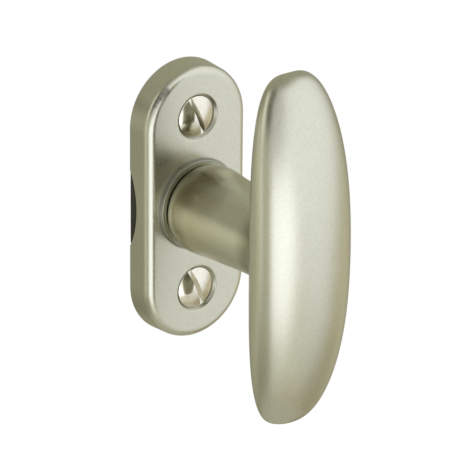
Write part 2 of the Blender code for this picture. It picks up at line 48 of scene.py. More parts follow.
mm = 0.001
# the bench lies flat: across, along the rose, depth towards the room, all in millimetres
benchToWorld = Matrix(((mm, 0, 0, 0), (0, 0, -mm, 0), (0, mm, 0, 0), (0, 0, 0, 1)))
touch = 1e-6  # lengths below this count as none
tiny = 1e-9  # keeps a division from failing
creaseAngle = 32  # degrees
flatWeight = 90  # how far large faces lead the normals of their rounded edges
weldReach = 0.003  # shorter edges are taken out after a cut
fixingPlace = 21.5  # the fixing screws, above and below the axis
smallPlace = (8.5, 16.5)  # the base's screws, to the upper right and the lower left


def cadReach(node):
    low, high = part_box(node)
    return high.x / mm, high.z / mm, -low.y / mm


# mesh tools


def softened(corners, steps=4, closed=False):
    # corners are (x, y, round), and each gets an arc of its own radius
    line = []
    count = len(corners)
    for i, (x, y, radius) in enumerate(corners):
        here = Vector((x, y))
        if radius == 0 or (not closed and i in (0, count - 1)):
            line.append((x, y))
            continue
        toLast = (Vector(corners[i - 1][:2]) - here).normalized()
        toNext = (Vector(corners[(i + 1) % count][:2]) - here).normalized()
        half = toLast.angle(toNext) / 2
        centre = here + (toLast + toNext).normalized() * radius / math.sin(half)
        first = here + toLast * radius / math.tan(half) - centre
        last = here + toNext * radius / math.tan(half) - centre
        start = math.atan2(first.y, first.x)
        sweep = (math.atan2(last.y, last.x) - start + math.pi) % math.tau - math.pi
        for k in range(steps + 1):
            turn = start + sweep * k / steps
            line.append((centre.x + radius * math.cos(turn), centre.y + radius * math.sin(turn)))
    return line


def inset(outline, amount, sharpest=0.3):
    # moves a closed outline to its left, which is inwards when it runs anticlockwise
    moved = []
    for i, here in enumerate(outline):
        before = (Vector(here) - Vector(outline[i - 1])).normalized()
        after = (Vector(outline[(i + 1) % len(outline)]) - Vector(here)).normalized()
        side = Vector((-before.y - after.y, before.x + after.x)).normalized()
        reach = amount / max(sharpest, side.dot(Vector((-before.y, before.x))))
        moved.append((here[0] + side.x * reach, here[1] + side.y * reach))
    return moved


def circle(radius, steps, at=(0, 0)):
    turns = [math.tau * i / steps for i in range(steps)]
    return [(at[0] + radius * math.cos(t), at[1] + radius * math.sin(t)) for t in turns]


def square(half, corner, steps=4):
    ends = ((half, -half), (half, half), (-half, half), (-half, -half))
    return softened([(x, y, corner) for x, y in ends], steps, True)


def raised(outline, depth):
    return [(x, y, depth) for x, y in outline]


class Shell:
    # one closed mesh, put together from rings of points, walls between rings and flat faces with holes
    def __init__(self):
        self.mesh = bmesh.new()

    def ring(self, points):
        return [self.mesh.verts.new(p) for p in points]

    def face(self, corners):
        kept = [v for i, v in enumerate(corners) if v is not corners[i - 1]]
        if len(set(kept)) > 2:
            self.mesh.faces.new(kept)

    def skin(self, *rings):
        for low, high in zip(rings, rings[1:]):
            for i in range(len(low)):
                self.face([low[i - 1], low[i], high[i], high[i - 1]])

    def tip(self, ring, point):
        top = self.mesh.verts.new(point)
        for i in range(len(ring)):
            self.face([ring[i - 1], ring[i], top])

    def flat(self, *rings):
        edges = []
        for ring in rings:
            for i in range(len(ring)):
                ends = (ring[i - 1], ring[i])
                edges.append(self.mesh.edges.get(ends) or self.mesh.edges.new(ends))
        bmesh.ops.triangle_fill(self.mesh, use_beauty=True, use_dissolve=False, edges=edges)

    def stacked(self, levels):
        # one wall through (outline, depth) levels
        rings = [self.ring(raised(outline, depth)) for outline, depth in levels]
        self.skin(*rings)
        return rings

    def turned(self, profile, steps, at=(0, 0)):
        # a profile of (radius, depth) round an axis along the depth, closed where it meets the axis
        rings = self.stacked([(circle(r, steps, at), d) for r, d in profile if r > touch])
        for (r, d), ring in ((profile[0], rings[0]), (profile[-1], rings[-1])):
            if r <= touch:
                self.tip(ring, (at[0], at[1], d))
        return rings

    def plate(self, outlines, low, high, edge):
        # outlines run anticlockwise round the plate and clockwise round its holes
        stack = []
        for outline in outlines:
            small = inset(outline, edge)
            levels = ((small, low), (outline, low + edge), (outline, high - edge), (small, high))
            stack.append(self.stacked(levels))
        self.flat(*[rings[0] for rings in stack])
        self.flat(*[rings[-1] for rings in stack])

    def loft(self, shapes):
        rings = [self.ring(points) for points in shapes]
        self.skin(*rings)
        self.face(rings[0])
        self.face(rings[-1])

    def box(self, low, high):
        corners = ((low[0], low[1]), (high[0], low[1]), (high[0], high[1]), (low[0], high[1]))
        self.loft([raised(corners, depth) for depth in (low[2], high[2])])

    def thread(self, reach, top, bottom, pitch, cut, steps, at=(0, 0)):
        # a grid that runs along the helix from top to bottom, reach(depth) is the crest's radius
        ridge = (0, 0, 0.12, 0.75, 1, 1, 0.75, 0.12)
        rows = len(ridge)
        count = math.ceil(rows * (top + pitch - bottom) / pitch) + 1
        ends = [self.ring(raised(circle(reach(d), steps, at), d)) for d in (top, bottom)]
        grid = []
        for j in range(count):
            line = []
            for i in range(steps):
                depth = top + pitch - (j / rows + i / steps) * pitch
                if depth >= top - touch or depth <= bottom + touch:
                    line.append(ends[depth <= bottom + touch][i])
                    continue
                # the groove runs in over one pitch and out over half a pitch
                fade = min(1, (top - depth) / pitch, (depth - bottom) / (0.5 * pitch))
                radius = reach(depth) * (1 - cut * fade * (1 - ridge[j % rows]))
                turn = math.tau * i / steps
                spot = (at[0] + radius * math.cos(turn), at[1] + radius * math.sin(turn), depth)
                line.append(self.mesh.verts.new(spot))
            grid.append(line)
        for j in range(count - 1):
            for i in range(steps):
                shift, after = (rows, 0) if i == steps - 1 else (0, i + 1)
                near, far = min(j + shift, count - 1), min(j + 1 + shift, count - 1)
                self.face([grid[j][i], grid[near][after], grid[far][after], grid[j + 1][i]])
        return ends

    def data(self, name, world):
        bmesh.ops.recalc_face_normals(self.mesh, faces=self.mesh.faces[:])
        made = bpy.data.meshes.new(name)
        self.mesh.to_mesh(made)
        self.mesh.free()
        made.transform(world)
        return made

    def piece(self, name, node, body, slot, sharp=creaseAngle, even=False, world=benchToWorld):
        data = self.data(name, world)
        data.shade_smooth()
        data.set_sharp_from_angle(angle=math.radians(sharp))
        data.materials.append(finishes[slot])
        item = bpy.data.objects.new(name, data)
        scene.collection.objects.link(item)
        if even:  # keeps the flats flat beside their rounded edges
            weighted = item.modifiers.new("evenNormals", "WEIGHTED_NORMAL")
            weighted.keep_sharp = True
            weighted.weight = flatWeight
        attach(item, body)
        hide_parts(node)
        print("made", name, len(data.polygons), "faces")
        return item


def combine(item, shell, operation="DIFFERENCE", world=benchToWorld, sharp=creaseAngle):
    # cuts a shell out of a piece, or joins it on, and keeps the result as the piece's own mesh
    data = shell.data("tool", world)
    data.materials.append(item.data.materials[0])
    tool = bpy.data.objects.new("tool", data)
    scene.collection.objects.link(tool)
    change = item.modifiers.new("combine", "BOOLEAN")
    change.operation = operation
    change.solver = "EXACT"
    change.object = tool
    bpy.context.view_layer.update()
    result = bpy.data.meshes.new_from_object(item.evaluated_get(bpy.context.evaluated_depsgraph_get()))
    item.modifiers.remove(change)
    item.data = result
    bpy.data.objects.remove(tool)
    joined = bmesh.new()
    joined.from_mesh(result)
    bmesh.ops.dissolve_degenerate(joined, dist=weldReach * mm, edges=joined.edges[:])
    joined.to_mesh(result)
    joined.free()
    result.shade_smooth()
    result.set_sharp_from_angle(angle=math.radians(sharp))


# material tools


class Sock:
    # a socket that takes part in Python sums, each sum adds a Math node
    def __init__(self, net, socket):
        self.net, self.socket = net, socket

    def maths(self, operation, first, second):
        return self.net.node("ShaderNodeMath", {"operation": operation}, {0: first, 1: second})

    def __add__(self, other):
        return self.maths("ADD", self, other)

    def __radd__(self, other):
        return self.maths("ADD", other, self)

    def __sub__(self, other):
        return self.maths("SUBTRACT", self, other)

    def __rsub__(self, other):
        return self.maths("SUBTRACT", other, self)

    def __mul__(self, other):
        return self.maths("MULTIPLY", self, other)

    def __rmul__(self, other):
        return self.maths("MULTIPLY", other, self)

    def __pow__(self, other):
        return self.maths("POWER", self, other)

    def __rpow__(self, other):
        return self.maths("POWER", other, self)


class Net:
    # the node tree of one material or of the world
    def __init__(self, owner):
        owner.use_nodes = True
        self.owner, self.tree = owner, owner.node_tree
        self.tree.nodes.clear()

    def node(self, kind, settings=None, sockets=None, out=0):
        made = self.tree.nodes.new(kind)
        for key, value in (settings or {}).items():
            setattr(made, key, value)
        for key, value in (sockets or {}).items():
            if isinstance(value, Sock):
                self.tree.links.new(value.socket, made.inputs[key])
            else:
                made.inputs[key].default_value = value
        return Sock(self, made.outputs[out]) if made.outputs else None

    def outputs(self, kind, sockets=None):
        made = self.node(kind, None, sockets).socket.node
        return {socket.name: Sock(self, socket) for socket in made.outputs}

    def vector(self, operation, sockets, out=0):
        return self.node("ShaderNodeVectorMath", {"operation": operation}, sockets, out)

    def mixed(self, factor, first, second):
        first, second = ((*c, 1) if isinstance(c, tuple) else c for c in (first, second))
        return self.node("ShaderNodeMix", {"data_type": "RGBA"}, {0: factor, 6: first, 7: second}, out=2)

    def eased(self, value, low, high):
        settings = {"interpolation_type": "SMOOTHSTEP"}
        return self.node("ShaderNodeMapRange", settings, {0: value, 1: low, 2: high})

    def objectPlace(self):
        return self.node("ShaderNodeTexCoord", out=3)

    def millimetres(self):
        return self.vector("SCALE", {0: self.objectPlace(), 3: 1 / mm})

    def grain(self, place, size, detail=2.0, rough=0.5):
        return self.node("ShaderNodeTexNoise", None,
                         {"Vector": place, "Scale": 1 / size, "Detail": detail, "Roughness": rough})

    def swing(self, noise, amount):
        # noise lies about a half
        return (noise - 0.5) * amount

    def relief(self, height, depth):
        return self.node("ShaderNodeBump", None, {"Strength": 1.0, "Distance": depth * mm, "Height": height})

    def finish(self, surface):
        self.node("ShaderNodeOutputMaterial", None, {"Surface": surface})
        return self.owner

    def coated(self, sockets):
        return self.finish(self.node("ShaderNodeBsdfPrincipled", None, sockets))

    def metal(self, colour, rough, normal):
        return self.coated({"Base Color": colour, "Metallic": 1.0, "Roughness": rough, "Normal": normal})


# satin nickel: a matt, pearl-blasted plating with a fine speckle, a brown tint and stains on the neck,
# painted shade on the neck, at its foot, behind the grip, on the collar and the rose's long sides, a painted
# shadow in the countersinks and a painted dark reflection along the rose's shoulder
satinLook = dict(
    pale=(0.61, 0.618, 0.535), deep=(0.565, 0.567, 0.483), contrast=(0.34, 0.66),
    rough=0.29, roughSwing=0.06, speck=0.6, speckShare=0.8, cloud=9.0, relief=0.006,
    # the first brown is for stains and painted shade, the grey after it for painted shade and a painted dark
    # reflection
    stainAndShade=(0.15, 0.130, 0.072), shadeAndReflectionGrey=(0.17, 0.172, 0.14), patch=6.5, patchEdge=(0.36, 0.62),
    # two numbers are a ramp from none to all, three are a band and how soft its ends are, in millimetres
    # the neck's film is a brown tint and painted shade
    neckTintAndShade=(0.485, 0.445, 0.275), tintAndShadeShare=0.68, tintAndShadePatch=0.5,
    # the foot, corner and sink values place painted shade at the neck's foot and behind the grip, and a
    # painted shadow in the countersinks
    neckEnd=(36.0, 8.5), neckStart=(8.3, 8.5), neckSide=(11.9, 11.6), foot=(11.4, 13.4, 2.8), footShade=0.55,
    cornerStart=(32.5, 37.5), cornerDepth=(0, 41.5, 2.0), cornerSide=(19.0, 11.0), cornerShade=0.55,
    sinkSide=(5.9, 5.6), sinkDepth=(0, 6.85, 0.12), sinkShadow=0.36,
    # the collar and wall values place painted grey shade on the collar and the rose's long sides
    collarSide=(10.6, 11.0, 0.4), collarDepth=(6.95, 8.3, 0.15), collarShade=0.70,
    wallStart=(6.0, 4.8), wallSide=(11.4, 13.8), wallShade=0.45,
    # round marks on the neck, partly stains and partly painted shade on its upper left: middle, half width
    # and strength
    spots=[
        ((-4.1, -15.2, 9.6), 3.6, 0.82), ((-8.1, -13.7, 6.8), 3.0, 0.74), ((-6.5, -17.5, 8.5), 5.8, 0.48),
        ((7.4, -15.5, -7.0), 3.0, 0.50), ((8.6, -17.0, 4.6), 3.6, 0.40),
    ],
    # a painted dark reflection along the upper left of the rose's shoulder, as a row of round marks
    shoulderReflection=[
        ((-11.7, -6.4, 26.6), 0.55, 0.65), ((-11.2, -6.5, 27.5), 0.6, 0.80), ((-10.4, -6.6, 28.2), 0.6, 0.90),
        ((-9.5, -6.7, 29.0), 0.6, 0.92), ((-8.6, -6.7, 29.7), 0.6, 0.85),
    ],
    # where a mark fades, in half widths, and how far the patches move that edge
    markEdge=(1.7, 0.2), markWaver=0.4,
)


def satinNickel(look):
    net = Net(bpy.data.materials.new("satinNickel"))
    place = net.millimetres()
    cloud = net.grain(place, look["cloud"], detail=3.0)
    speck = net.grain(place, look["speck"], detail=3.0, rough=0.6)
    share = look["speckShare"]
    tone = net.eased(cloud * (1 - share) + speck * share, *look["contrast"])
    colour = net.mixed(tone, look["deep"], look["pale"])
    x, y, z = net.outputs("ShaderNodeSeparateXYZ", {0: place}).values()
    reach, depth = (x * x + z * z) ** 0.5, 0 - y
    patches = net.eased(net.grain(place, look["patch"], detail=3.0), *look["patchEdge"])

    def within(value, low, high, soft):
        return net.eased(value, low - soft, low) * net.eased(value, high + soft, high)

    def bare(marks):
        # what the round marks leave of the plain plating; the marks are stains, painted shade and a painted
        # dark reflection
        left = 1.0
        outer, inner = look["markEdge"]
        for middle, wide, strength in marks:
            far = net.vector("DISTANCE", {0: place, 1: middle}, out=1)
            mark = net.eased(far + net.swing(patches, wide) * look["markWaver"], wide * outer, wide * inner)
            left = (1 - mark * strength) * left
        return left

    # a warm brown tint on the neck with painted shade, darkest towards its foot and thicker in patches
    share = look["tintAndShadePatch"]
    neck = net.eased(depth, *look["neckEnd"]) * net.eased(depth, *look["neckStart"])
    neck = neck * net.eased(reach, *look["neckSide"]) * (patches * share + (1 - share))
    colour = net.mixed(neck * look["tintAndShadeShare"], colour, look["neckTintAndShade"])
    # brown stains and painted shade on the neck, painted shade at the neck's foot and in the corner behind
    # the grip, and a painted shadow in the countersinks
    foot = neck * within(depth, *look["foot"])
    corner = net.eased(depth, *look["cornerStart"]) * within(depth, *look["cornerDepth"])
    corner = corner * net.eased(reach, *look["cornerSide"])
    beside = (z * z) ** 0.5 - fixingPlace
    sink = net.eased((x * x + beside * beside) ** 0.5, *look["sinkSide"]) * within(depth, *look["sinkDepth"])
    unmarked = bare(look["spots"]) * (1 - sink * look["sinkShadow"]) * (1 - corner * look["cornerShade"])
    unmarked = unmarked * (1 - foot * look["footShade"])
    colour = net.mixed(unmarked, look["stainAndShade"], colour)
    # painted grey shade on the collar and the rose's long sides, and a painted dark reflection along the
    # shoulder
    collar = within(reach, *look["collarSide"]) * within(depth, *look["collarDepth"])
    wall = net.eased(depth, *look["wallStart"]) * net.eased((x * x) ** 0.5, *look["wallSide"])
    unmarked = bare(look["shoulderReflection"]) * (1 - collar * look["collarShade"]) * (1 - wall * look["wallShade"])
    colour = net.mixed(unmarked, look["shadeAndReflectionGrey"], colour)
    rough = look["rough"] + net.swing(speck, look["roughSwing"]) + net.swing(cloud, look["roughSwing"])
    return net.metal(colour, rough, net.relief(speck, look["relief"]))


# polished nickel of the fixing screws: bright, with a few dull spots
polishLook = dict(
    pale=(0.74, 0.715, 0.64), deep=(0.64, 0.60, 0.51), rough=0.10, dull=0.20, cloud=1.6, spots=(0.5, 0.72),
    fine=0.24, fineSwing=0.04, relief=0.004,
)


def polishedNickel(look):
    net = Net(bpy.data.materials.new("polishedNickel"))
    place = net.millimetres()
    cloud = net.grain(place, look["cloud"], detail=4.0, rough=0.6)
    fine = net.grain(place, look["fine"])
    spots = net.eased(cloud, *look["spots"])
    colour = net.mixed(spots, look["pale"], look["deep"])
    rough = look["rough"] + (look["dull"] - look["rough"]) * spots + net.swing(fine, look["fineSwing"])
    return net.metal(colour, rough, net.relief(cloud, look["relief"]))


# black moulded plastic with a spark-eroded grain
plasticLook = dict(
    black=(0.010, 0.010, 0.010), dust=(0.030, 0.029, 0.027), contrast=(0.42, 0.75), rough=0.46, shine=0.4,
    cloud=6.0, cloudShare=0.7, cloudSwing=0.2, pore=0.22, poreSwing=0.15, relief=0.02,
)


def blackPlastic(look):
    net = Net(bpy.data.materials.new("blackPlastic"))
    place = net.millimetres()
    pores = net.grain(place, look["pore"], rough=0.6)
    cloud = net.grain(place, look["cloud"], detail=3.0)
    share = look["cloudShare"]
    dusty = net.eased(cloud * share + pores * (1 - share), *look["contrast"])
    colour = net.mixed(dusty, look["black"], look["dust"])
    rough = look["rough"] + net.swing(cloud, look["cloudSwing"]) + net.swing(pores, look["poreSwing"])
    return net.coated({"Base Color": colour, "Roughness": rough, "Specular IOR Level": look["shine"],
                       "Normal": net.relief(pores, look["relief"])})


# spring steel, blued by tempering, with straw tints in clouds and rolling lines along the leaves
springLook = dict(
    blue=(0.20, 0.22, 0.29), straw=(0.33, 0.29, 0.22), tint=2.2, contrast=(0.4, 0.66), rough=0.30,
    rolled=(12.0, 12.0, 0.5), lineSwing=0.25, relief=0.004,
)


def springSteel(look):
    net = Net(bpy.data.materials.new("springSteel"))
    place = net.millimetres()
    tint = net.grain(place, look["tint"], detail=3.0)
    lines = net.grain(net.vector("MULTIPLY", {0: place, 1: look["rolled"]}), 1.0, detail=3.0)
    colour = net.mixed(net.eased(tint, *look["contrast"]), look["blue"], look["straw"])
    rough = look["rough"] + net.swing(lines, look["lineSwing"])
    return net.metal(colour, rough, net.relief(lines, look["relief"]))


# bright zinc: a cool plating over drawn bar, with drawing lines along the spindle and a clouded passivation
zincLook = dict(
    cool=(0.60, 0.62, 0.64), warm=(0.56, 0.55, 0.50), cloud=3.0, contrast=(0.35, 0.68), rough=0.34,
    cloudSwing=0.25, drawn=(7.0, 0.12, 7.0), lineSwing=0.15, relief=0.008,
)


def zincSteel(look):
    net = Net(bpy.data.materials.new("zincSteel"))
    place = net.millimetres()
    cloud = net.grain(place, look["cloud"], detail=4.0, rough=0.6)
    lines = net.grain(net.vector("MULTIPLY", {0: place, 1: look["drawn"]}), 1.0, detail=3.0, rough=0.6)
    colour = net.mixed(net.eased(cloud, *look["contrast"]), look["cool"], look["warm"])
    rough = look["rough"] + net.swing(cloud, look["cloudSwing"]) + net.swing(lines, look["lineSwing"])
    return net.metal(colour, rough, net.relief(lines, look["relief"]))


finishes = {
    "satin_nickel": satinNickel(satinLook),
    "bright_nickel": polishedNickel(polishLook),
    "black_plastic": blackPlastic(plasticLook),
    "spring_steel": springSteel(springLook),
    "zinc_steel": zincSteel(zincLook),
}
print("finishes ready")

# the rose

roseSide, roseEnd, roseFront = cadReach("rose_plate")
rose = dict(
    radius=roseSide, straight=roseEnd - roseSide, face=7.0, faceMargin=0.3, shoulder=1.9, wall=2.0, draft=0.4,
    rimOutside=0.18, rimInside=0.12, recess=5.2, recessRound=0.5, recessMargin=1.0,
    notchHalf=9.5, notchDepth=2.6, notchTop=5.0,
    collar=10.95, collarFront=roseFront, collarEdge=0.3, collarRoot=0.06, collarMargin=0.4,
    bore=9.5, boreEdge=0.15, boreMargin=0.6,
    countersink=5.7, sinkEdge=0.35, sinkMargin=0.8, coneRoot=0.2, hole=2.7, holeEdge=0.12,
    boss=4.62, bossRoot=0.3, bossMargin=0.6,
    smallBoss=2.1, smallBossBack=2.8, smallRoot=0.25, smallMargin=0.5, smallHole=1.4, smallEdge=0.1,
    smallHoleEnd=5.7, smallEndRound=0.2,
    wallSteps=12, edgeSteps=6, smallSteps=3, collarSegments=144, sinkSegments=96, smallSegments=32,
    endStations=9, notchStations=41,
)
notchRadius = (rose["notchHalf"] ** 2 + rose["notchDepth"] ** 2) / (2 * rose["notchDepth"])
sideStations = np.unique(np.concatenate([
    np.linspace(-rose["straight"], -rose["notchHalf"], rose["endStations"]),
    np.linspace(-rose["notchHalf"], rose["notchHalf"], rose["notchStations"]),
    np.linspace(rose["notchHalf"], rose["straight"], rose["endStations"]),
]).round(6))


def oblong(radius, straight, steps=72):
    # the rose's outline at any radius, anticlockwise from the lower end of the right side
    def end(middle, first, last):
        turns = np.linspace(first, last, steps)[1:-1]
        return [(radius * math.cos(t), middle + radius * math.sin(t)) for t in turns]

    right = [(radius, float(y)) for y in sideStations]
    left = [(-radius, float(y)) for y in sideStations[::-1]]
    return right + end(straight, 0, math.pi) + left + end(-straight, math.pi, math.tau)


def notchLift(along, depth):
    # how far the arc in the long sides pushes a point of the wall forward
    if abs(along) >= rose["notchHalf"] or depth >= rose["notchTop"]:
        return 0
    arch = math.sqrt(notchRadius ** 2 - along ** 2) - (notchRadius - rose["notchDepth"])
    return arch * (1 - depth / rose["notchTop"])


def makeRose():
    shell = Shell()
    outer, face, recess, shoulder = rose["radius"], rose["face"], rose["recess"], rose["shoulder"]
    inner, top = outer - rose["wall"], outer - rose["draft"]
    wallLine = softened([
        (inner - rose["recessMargin"], recess, 0), (inner, recess, rose["recessRound"]),
        (inner, 0, rose["rimInside"]), (outer, 0, rose["rimOutside"]),
        (top, face, shoulder), (top - shoulder - rose["faceMargin"], face, 0)], rose["wallSteps"])
    rings = []
    for radius, depth in wallLine:
        points = []
        for x, y in oblong(radius, rose["straight"]):
            onSide = abs(abs(x) - radius) < touch and abs(y) <= rose["straight"]
            points.append((x, y, depth + (notchLift(y, depth) if onSide else 0)))
        rings.append(shell.ring(points))
    shell.skin(*rings)
    ceilingHoles, faceHoles = [], []

    def opening(corners, steps, segments, at=(0, 0)):
        made = shell.turned(softened(corners, steps), segments, at)
        ceilingHoles.append(made[0])
        if corners[-1][0] > 0:
            faceHoles.append(made[-1])

    collar, front, bore, edge = rose["collar"], rose["collarFront"], rose["bore"], rose["boreEdge"]
    opening([(bore + rose["boreMargin"], recess, 0), (bore, recess, edge), (bore, front, edge),
             (collar, front, rose["collarEdge"]), (collar, face, rose["collarRoot"]),
             (collar + rose["collarMargin"], face, 0)], rose["edgeSteps"], rose["collarSegments"])
    boss, hole, sink, edge = rose["boss"], rose["hole"], rose["countersink"], rose["holeEdge"]
    coneEnd = face - (sink - hole)
    small, back, pin = rose["smallBoss"], rose["smallBossBack"], rose["smallHole"]
    deep, soft = rose["smallHoleEnd"], rose["smallEdge"]
    for side in (1, -1):
        opening([(boss + rose["bossMargin"], recess, 0), (boss, recess, rose["bossRoot"]), (boss, 0, edge),
                 (hole, 0, edge), (hole, coneEnd, rose["coneRoot"]), (sink, face, rose["sinkEdge"]),
                 (sink + rose["sinkMargin"], face, 0)],
                rose["edgeSteps"], rose["sinkSegments"], (0, side * fixingPlace))
        opening([(small + rose["smallMargin"], recess, 0), (small, recess, rose["smallRoot"]),
                 (small, back, soft), (pin, back, soft), (pin, deep, rose["smallEndRound"]), (0, deep, 0)],
                rose["smallSteps"], rose["smallSegments"], (side * smallPlace[0], side * smallPlace[1]))
    shell.flat(rings[0], *ceilingHoles)
    shell.flat(rings[-1], *faceHoles)
    shell.piece("rosePlate", "rose_plate", "rose", "satin_nickel", even=True)


makeRose()

# the olive handle

olive = dict(
    # the grip: its outline, the bow of its rim, its front and its back
    halfLength=42.8, halfWidth=12.95, slimming=1.6, endPower=3.3, rim=46.4, rimBow=4.2, endBow=0.9,
    crownShare=0.585, backDepth=6.2, backPower=2.0, flank=1.6, backCorner=6.0,
    # the neck
    waist=9.15, taper=1.4, flare=3.6, foot=10.9, footInner=9.3, footStart=8.5, footEnd=10.5,
    footRoundEnd=12.3,
    # the journal with its flats and groove, and the spindle's socket
    journal=7.3, journalEnd=0.4, journalEdge=0.3, flats=6.0, groove=6.5, grooveBack=0.9, camBack=2.1,
    roundFrom=4.15, socket=3.8, socketEnd=26.8, socketCorner=0.3, socketMouth=0.25,
    # the grub screw's hole, countersunk where it leaves the neck
    grubHole=2.3, grubShare=0.35, grubFrom=1.0, grubSink=0.45, grubSinkIn=0.5, grubSinkOut=0.1,
    grubClear=2.0, grubSegments=40,
    rays=256, frontRows=72, backRows=44, footRows=16, neckRows=34, flareRows=18, socketSteps=3,
    # how finely outline and rays are sampled, and how the rows crowd at the rim and where the surface bends
    outlineSamples=20001, raySamples=1200, rimCrowding=2.3, bendCrowding=1.1,
)


def lame(share, power):
    return np.maximum(0.0, 1 - np.abs(share) ** power) ** (1 / power)


def oliveWidth(along):
    return (olive["halfWidth"] - olive["slimming"] * along ** 2) * lame(along, olive["endPower"])


def oliveHeight(x, y, front):
    # each cross section is an elliptic front and a flat back with rounded sides that meet on the rim
    along = y / olive["halfLength"]
    width = oliveWidth(along)
    arch = lame(np.minimum(1, np.abs(x) / np.maximum(width, tiny)), 2.0)
    rim = olive["rim"] - olive["rimBow"] * along ** 2 - olive["endBow"] * along ** 4
    if front:
        return rim + olive["crownShare"] * width * arch
    side = olive["flank"] * arch
    level = side / (1 + side ** olive["backCorner"]) ** (1 / olive["backCorner"])
    return rim - olive["backDepth"] * lame(along, olive["backPower"]) * level


def spacedRows(start, end, ray, front, rows):
    # points of the grip's surface along one ray, close together where it bends
    fine = 1 - (1 - np.linspace(0, 1, olive["raySamples"])) ** olive["rimCrowding"]
    reach = start + (end - start) * fine
    x, y = reach * ray[0], reach * ray[1]
    line = np.stack([x, y, oliveHeight(x, y, front)], -1)
    step = np.diff(line, axis=0)
    length = np.linalg.norm(step, axis=1)
    heading = step / np.maximum(length, tiny)[:, None]
    bend = np.arccos(np.clip((heading[1:] * heading[:-1]).sum(1), -1, 1))
    bend = np.concatenate([[0], bend])
    measure = np.cumsum(length / length.sum() + olive["bendCrowding"] * bend / bend.sum())
    measure = np.concatenate([[0], measure])
    place = np.linspace(0, measure[-1], rows)
    return np.stack([np.interp(place, measure, line[:, k]) for k in range(3)], -1)


def oliveRays():
    # points of the grip's widest outline, evenly spaced along it
    turn = np.linspace(0, math.tau, olive["outlineSamples"])
    along = np.sin(turn)
    x, y = np.sign(np.cos(turn)) * oliveWidth(along), olive["halfLength"] * along
    walked = np.concatenate([[0], np.cumsum(np.hypot(np.diff(x), np.diff(y)))])
    place = np.arange(olive["rays"]) * walked[-1] / olive["rays"]
    return np.stack([np.interp(place, walked, x), np.interp(place, walked, y)], -1)


waistEnd = float(oliveHeight(0.0, olive["waist"], False)) - olive["flare"]
grubDepth = olive["footEnd"] + olive["grubShare"] * (waistEnd - olive["footEnd"])
# the grub screw's axis runs down out of the neck
grubToWorld = benchToWorld @ Matrix.Translation((0, 0, grubDepth)) @ Matrix.Rotation(math.pi / 2, 4, "X")


def neckRadius(depth):
    share = (waistEnd - depth) / (waistEnd - olive["footEnd"])
    return olive["waist"] + (olive["foot"] - olive["waist"]) * share ** olive["taper"]


def makeOlive():
    shell = Shell()
    rim = oliveRays()
    turn = np.arctan2(rim[:, 1], rim[:, 0])
    way = np.stack([np.cos(turn), np.sin(turn)], -1)
    squarish = olive["flats"] / np.abs(way).max(1)

    def level(radius, depth):
        points = way * np.reshape(radius, (-1, 1))
        return shell.ring(raised(points.tolist(), float(depth)))

    full, groove = np.minimum(olive["journal"], squarish), np.minimum(olive["groove"], squarish)
    end, edge = olive["journalEnd"], olive["journalEdge"]
    rings = [level(full - edge, end), level(full, end + edge)]
    rings += [level(full, olive["grooveBack"]), level(groove, olive["grooveBack"])]
    rings += [level(groove, olive["camBack"]), level(full, olive["camBack"])]
    rings.append(level(full, olive["roundFrom"]))
    ones = np.ones(len(turn))
    rings += [level(olive["journal"] * ones, d) for d in (olive["roundFrom"], olive["footStart"])]
    start, neckStart = olive["footInner"], olive["footRoundEnd"]
    for k in range(olive["footRows"] + 1):
        angle = math.pi / 2 * k / olive["footRows"]
        depth = olive["footStart"] + (neckStart - olive["footStart"]) * (1 - math.cos(angle))
        rings.append(level((start + (neckRadius(neckStart) - start) * math.sin(angle)) * ones, depth))
    for k in range(1, olive["neckRows"]):
        depth = neckStart + (waistEnd - neckStart) * k / olive["neckRows"]
        rings.append(level(neckRadius(depth) * ones, depth))
    # the flare bends from the neck's side into the grip's back
    sideFlare = min(olive["flare"], (olive["halfWidth"] - olive["waist"]) / 2)
    first = np.column_stack([way * olive["waist"], waistEnd * ones])
    corner = first.copy()
    corner[:, 2] = oliveHeight(corner[:, 0], corner[:, 1], False)
    landing = olive["waist"] + np.hypot(sideFlare * way[:, 0], olive["flare"] * way[:, 1])
    last = np.column_stack([way * landing[:, None], ones])
    last[:, 2] = oliveHeight(last[:, 0], last[:, 1], False)
    for k in range(olive["flareRows"] + 1):
        s = k / olive["flareRows"]
        rings.append(shell.ring(((1 - s) ** 2 * first + 2 * s * (1 - s) * corner + s ** 2 * last).tolist()))
    starts = landing / np.hypot(rim[:, 0], rim[:, 1])
    behind = [spacedRows(s, 1.0, ray, False, olive["backRows"]) for s, ray in zip(starts, rim)]
    ahead = [spacedRows(0.0, 1.0, ray, True, olive["frontRows"]) for ray in rim]
    for row in [*np.stack(behind, 1)[1:], *np.stack(ahead, 1)[::-1][1:-1]]:
        rings.append(shell.ring(row.tolist()))
    shell.skin(*rings)
    shell.tip(rings[-1], (0, 0, float(oliveHeight(0.0, 0.0, True))))
    # the spindle's square socket in the journal's end
    hollow = square(olive["socket"], olive["socketCorner"], olive["socketSteps"])
    broken = olive["socketMouth"]
    mouth = inset(hollow, -broken)
    socket = shell.stacked([(mouth, end), (hollow, end + broken), (hollow, olive["socketEnd"])])
    shell.flat(rings[0], socket[0])
    shell.flat(socket[-1])
    grip = shell.piece("oliveHandle", "olive_handle", "handle", "satin_nickel")
    hole = Shell()
    inner, side = olive["grubFrom"], neckRadius(grubDepth)
    narrow, clear = olive["grubHole"], side + olive["grubClear"]
    wide = narrow + olive["grubSink"]
    hole.turned([(0, inner), (narrow, inner), (narrow, side - olive["grubSinkIn"]),
                 (wide, side + olive["grubSinkOut"]), (wide, clear), (0, clear)], olive["grubSegments"])
    combine(grip, hole, world=grubToWorld)


makeOlive()

# fixing screws

